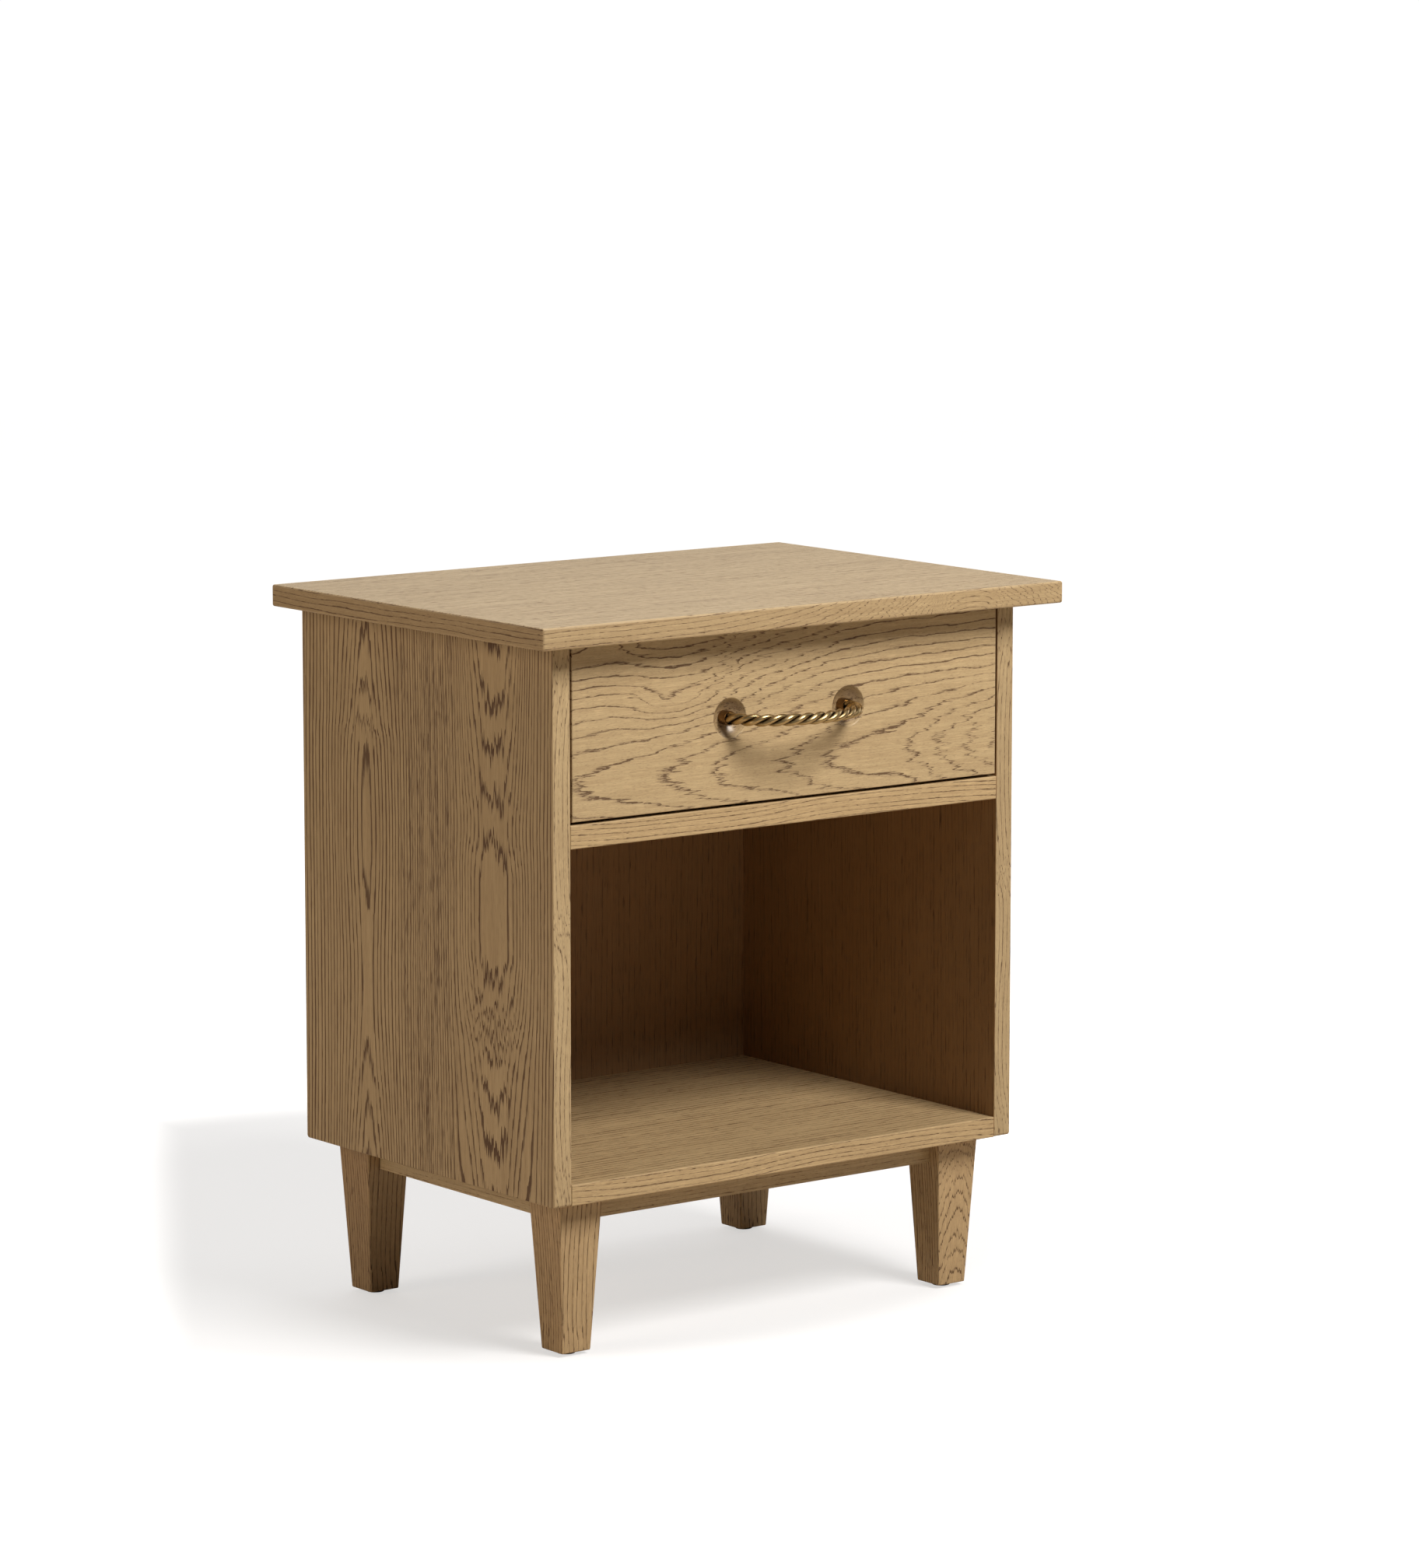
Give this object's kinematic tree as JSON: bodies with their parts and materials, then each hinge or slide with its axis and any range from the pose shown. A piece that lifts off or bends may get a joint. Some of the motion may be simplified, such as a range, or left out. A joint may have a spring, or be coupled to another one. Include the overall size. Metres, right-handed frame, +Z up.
{
  "type": "side table with drawer",
  "caption": "Side table with an inset drawer over an open shelf space, on tapered legs, with a twisted bow handle set in dished recesses.",
  "frame": {"origin": "on the floor, below the centre of the whole object's bounding box", "axes": "+X to the right of somebody facing the drawer, +Y to the back, +Z up; the drawer opens towards -Y"},
  "size_m": [0.56, 0.4182, 0.63],
  "materials": {
    "oak_top": "satin oak veneer, grain across the width",
    "oak_case": "satin oak veneer, vertical grain on the sides",
    "oak_back": "satin oak veneer, vertical grain",
    "oak_drawer_front": "satin oak, horizontal grain",
    "oak_legs": "satin solid oak, grain along each piece",
    "hidden_hardwood": "plain planed hardwood",
    "drawer_box_wood": "clear satin lacquer on pale wood",
    "drawer_bottom_plywood": "clear satin lacquer on pale plywood",
    "dowel_beech": "plain turned beech",
    "antique_brass": "antique brass, polished on the high places",
    "slide_steel": "bright zinc-plated steel",
    "ball_steel": "polished steel",
    "zinc_steel": "zinc-plated steel",
    "glide_plastic": "matt black nylon"
  },
  "bodies": {
    "case": {"apron_dowels": "dowel_beech", "back_panel": "oak_back", "back_panel_screws": "zinc_steel", "bottom_panel": "oak_case", "bottom_panel_dowels": "dowel_beech", "cabinet_slide_screws": "zinc_steel", "corner_block_front_left": "hidden_hardwood", "corner_block_front_right": "hidden_hardwood", "corner_block_rear_left": "hidden_hardwood", "corner_block_rear_right": "hidden_hardwood", "corner_block_screws": "zinc_steel", "divider_dowels": "dowel_beech", "drawer_divider": "oak_case", "front_apron": "oak_legs", "glide_front_left": "glide_plastic", "glide_front_right": "glide_plastic", "glide_nails": "zinc_steel", "glide_rear_left": "glide_plastic", "glide_rear_right": "glide_plastic", "left_apron": "oak_legs", "left_side_panel": "oak_case", "leg_bolt_inserts": "zinc_steel", "leg_bolts": "zinc_steel", "leg_front_left": "oak_legs", "leg_front_right": "oak_legs", "leg_rear_left": "oak_legs", "leg_rear_right": "oak_legs", "rail_dowels": "dowel_beech", "rear_apron": "oak_legs", "right_apron": "oak_legs", "right_side_panel": "oak_case", "slide_left_cabinet_member": "slide_steel", "slide_right_cabinet_member": "slide_steel", "top_front_rail": "hidden_hardwood", "top_panel": "oak_top", "top_panel_screws": "zinc_steel", "top_rear_rail": "hidden_hardwood"},
    "drawer": {"drawer_bottom": "drawer_bottom_plywood", "drawer_box_back": "drawer_box_wood", "drawer_box_front": "drawer_box_wood", "drawer_front": "oak_drawer_front", "drawer_front_screws": "zinc_steel", "drawer_left_side": "drawer_box_wood", "drawer_right_side": "drawer_box_wood", "drawer_slide_screws": "zinc_steel", "handle_bar": "antique_brass", "handle_post_left": "antique_brass", "handle_post_right": "antique_brass", "handle_screws": "zinc_steel", "handle_washers": "zinc_steel", "slide_left_drawer_member": "slide_steel", "slide_right_drawer_member": "slide_steel"},
    "left_outer_ball_cage": {"slide_left_outer_ball_cage": "ball_steel"},
    "left_middle_member": {"slide_left_middle_member": "slide_steel"},
    "left_inner_ball_cage": {"slide_left_inner_ball_cage": "ball_steel"},
    "right_outer_ball_cage": {"slide_right_outer_ball_cage": "ball_steel"},
    "right_middle_member": {"slide_right_middle_member": "slide_steel"},
    "right_inner_ball_cage": {"slide_right_inner_ball_cage": "ball_steel"}
  },
  "joints": [
    {"name": "drawer_slide", "type": "slide", "parent": "case", "child": "drawer", "axis": [0, -1, 0], "range_m": [0, 0.3]},
    {"name": "left_outer_ball_cage_travel", "type": "slide", "parent": "case", "child": "left_outer_ball_cage", "axis": [0, -1, 0], "range_m": [0, 0.075]},
    {"name": "left_middle_member_travel", "type": "slide", "parent": "case", "child": "left_middle_member", "axis": [0, -1, 0], "range_m": [0, 0.15]},
    {"name": "left_inner_ball_cage_travel", "type": "slide", "parent": "left_middle_member", "child": "left_inner_ball_cage", "axis": [0, -1, 0], "range_m": [0, 0.075]},
    {"name": "right_outer_ball_cage_travel", "type": "slide", "parent": "case", "child": "right_outer_ball_cage", "axis": [0, -1, 0], "range_m": [0, 0.075]},
    {"name": "right_middle_member_travel", "type": "slide", "parent": "case", "child": "right_middle_member", "axis": [0, -1, 0], "range_m": [0, 0.15]},
    {"name": "right_inner_ball_cage_travel", "type": "slide", "parent": "right_middle_member", "child": "right_inner_ball_cage", "axis": [0, -1, 0], "range_m": [0, 0.075]}
  ],
  "couplings": [
    {"joint": "left_outer_ball_cage_travel", "follows": "drawer_slide", "ratio": 0.25},
    {"joint": "left_middle_member_travel", "follows": "drawer_slide", "ratio": 0.5},
    {"joint": "left_inner_ball_cage_travel", "follows": "drawer_slide", "ratio": 0.25},
    {"joint": "right_outer_ball_cage_travel", "follows": "drawer_slide", "ratio": 0.25},
    {"joint": "right_middle_member_travel", "follows": "drawer_slide", "ratio": 0.5},
    {"joint": "right_inner_ball_cage_travel", "follows": "drawer_slide", "ratio": 0.25}
  ]
}
